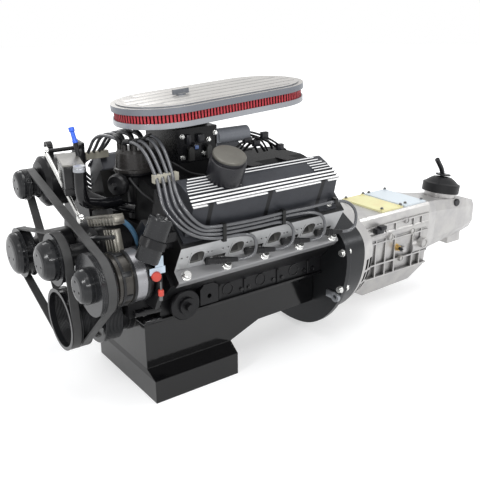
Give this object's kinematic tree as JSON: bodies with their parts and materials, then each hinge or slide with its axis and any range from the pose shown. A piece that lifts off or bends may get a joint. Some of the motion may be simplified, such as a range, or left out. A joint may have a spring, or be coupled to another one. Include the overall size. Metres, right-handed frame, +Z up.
{
  "type": "v8 engine",
  "caption": "Complete carburettor-style V8 engine with oval air cleaner, belt-driven accessories, plug wires, clutch housing and manual gearbox; its shafts, pulleys and throttles turn",
  "frame": {"origin": "on the flat bottom of the oil pan, below the front face of the cylinder block on the crankshaft's centre plane", "axes": "+X runs rearward from the pulleys to the gearbox, +Y to the engine's right, +Z up"},
  "size_m": [1.552, 0.5861, 0.7291],
  "materials": {
    "black_paint": "gloss",
    "cover_paint": "satin",
    "cast_aluminium": "cast",
    "pulley_paint": "satin",
    "bright_zinc": "plated",
    "machined_steel": "machined",
    "lid_silver": "satin",
    "filter_red": "pleated",
    "black_rubber": "matte",
    "wire_grey": "semi-matte",
    "dark_plastic": "matte",
    "compressor_silver": "satin",
    "cover_yellow": "matte"
  },
  "bodies": {
    "block": {"engine_block": "black_paint", "main_caps": "black_paint", "pistons": "cast_aluminium", "timing_chain": "machined_steel", "timing_cover": "black_paint", "oil_pan": "black_paint", "cylinder_head_left": "cast_aluminium", "cylinder_head_right": "cast_aluminium", "head_bolts": "bright_zinc", "valve_cover_left": "cover_paint", "valve_cover_right": "cover_paint", "cover_bolts": "bright_zinc", "filler_cap": "cover_paint", "intake_manifold": "black_paint", "throttle_body": "black_paint", "air_cleaner_lid": "lid_silver", "air_filter": "filter_red", "air_cleaner_base": "lid_silver", "distributor_cap": "dark_plastic", "distributor_housing": "dark_plastic", "water_pump": "black_paint", "ac_compressor": "compressor_silver", "steering_pump": "black_paint", "alternator": "black_paint", "front_belt": "black_rubber", "rear_belt": "black_rubber", "plug_wires": "wire_grey", "wire_looms": "black_paint", "spark_plugs": "bright_zinc", "plug_boots": "black_rubber", "ignition_coil": "black_paint", "compressor_bracket": "black_paint", "alternator_bracket": "black_paint", "adjuster_rod": "bright_zinc", "coolant_pipe": "black_rubber", "steering_reservoir": "dark_plastic", "oil_filter_adapter": "black_paint", "mount_brackets": "black_paint", "bellhousing": "cast_aluminium", "bell_bolts": "bright_zinc", "gearbox_case": "cast_aluminium", "gearbox_covers": "cover_yellow", "tail_housing": "cast_aluminium", "tail_mount": "black_rubber", "shifter_boot": "black_rubber"},
    "crank": {"crankshaft": "machined_steel", "crank_pulley": "pulley_paint", "flywheel": "machined_steel"},
    "cam": {"camshaft": "machined_steel"},
    "rotor": {"distributor_rotor": "machined_steel"},
    "pump_rotor": {"pump_pulley": "pulley_paint"},
    "compressor_rotor": {"compressor_pulley": "pulley_paint"},
    "steering_rotor": {"steering_pulley": "pulley_paint"},
    "alternator_rotor": {"alternator_pulley": "pulley_paint"},
    "front_throttle": {"throttle_shaft_front": "bright_zinc"},
    "rear_throttle": {"throttle_shaft_rear": "bright_zinc"},
    "input": {"input_shaft": "machined_steel"},
    "output": {"output_shaft": "machined_steel"},
    "lever": {"shift_lever": "bright_zinc"}
  },
  "joints": [
    {"name": "crank_spin", "type": "hinge", "parent": "block", "child": "crank", "pos_m": [0, 0, 0.2115], "axis": [1, 0, 0], "continuous": true},
    {"name": "cam_spin", "type": "hinge", "parent": "block", "child": "cam", "pos_m": [0, 0, 0.3245], "axis": [1, 0, 0], "continuous": true},
    {"name": "rotor_spin", "type": "hinge", "parent": "block", "child": "rotor", "pos_m": [0.024, 0, 0.5], "axis": [0, 0, 1], "continuous": true},
    {"name": "pump_spin", "type": "hinge", "parent": "block", "child": "pump_rotor", "pos_m": [0, 0, 0.3635], "axis": [1, 0, 0], "continuous": true},
    {"name": "compressor_spin", "type": "hinge", "parent": "block", "child": "compressor_rotor", "pos_m": [0, -0.162, 0.3515], "axis": [1, 0, 0], "continuous": true},
    {"name": "steering_spin", "type": "hinge", "parent": "block", "child": "steering_rotor", "pos_m": [0, 0.252, 0.3055], "axis": [1, 0, 0], "continuous": true},
    {"name": "alternator_spin", "type": "hinge", "parent": "block", "child": "alternator_rotor", "pos_m": [0, 0.211, 0.4945], "axis": [1, 0, 0], "continuous": true},
    {"name": "front_throttle_turn", "type": "hinge", "parent": "block", "child": "front_throttle", "pos_m": [0.13, 0, 0.5945], "axis": [0, 1, 0], "range_deg": [0, 75]},
    {"name": "rear_throttle_turn", "type": "hinge", "parent": "block", "child": "rear_throttle", "pos_m": [0.18, 0, 0.5945], "axis": [0, 1, 0], "range_deg": [0, 75]},
    {"name": "input_spin", "type": "hinge", "parent": "block", "child": "input", "pos_m": [0, 0, 0.2115], "axis": [1, 0, 0], "continuous": true},
    {"name": "output_spin", "type": "hinge", "parent": "block", "child": "output", "pos_m": [0, 0, 0.2115], "axis": [1, 0, 0], "continuous": true},
    {"name": "lever_shift", "type": "hinge", "parent": "block", "child": "lever", "pos_m": [1.17677, 0, 0.27776], "axis": [0, 1, 0], "range_deg": [-7, 7]}
  ],
  "couplings": [
    {"joint": "cam_spin", "follows": "crank_spin", "ratio": 0.5},
    {"joint": "rotor_spin", "follows": "crank_spin", "ratio": -0.5},
    {"joint": "pump_spin", "follows": "crank_spin", "ratio": 1.2456},
    {"joint": "steering_spin", "follows": "crank_spin", "ratio": 1.1639},
    {"joint": "compressor_spin", "follows": "crank_spin", "ratio": 1.0923},
    {"joint": "alternator_spin", "follows": "crank_spin", "ratio": 2.1515},
    {"joint": "rear_throttle_turn", "follows": "front_throttle_turn", "ratio": 1}
  ]
}
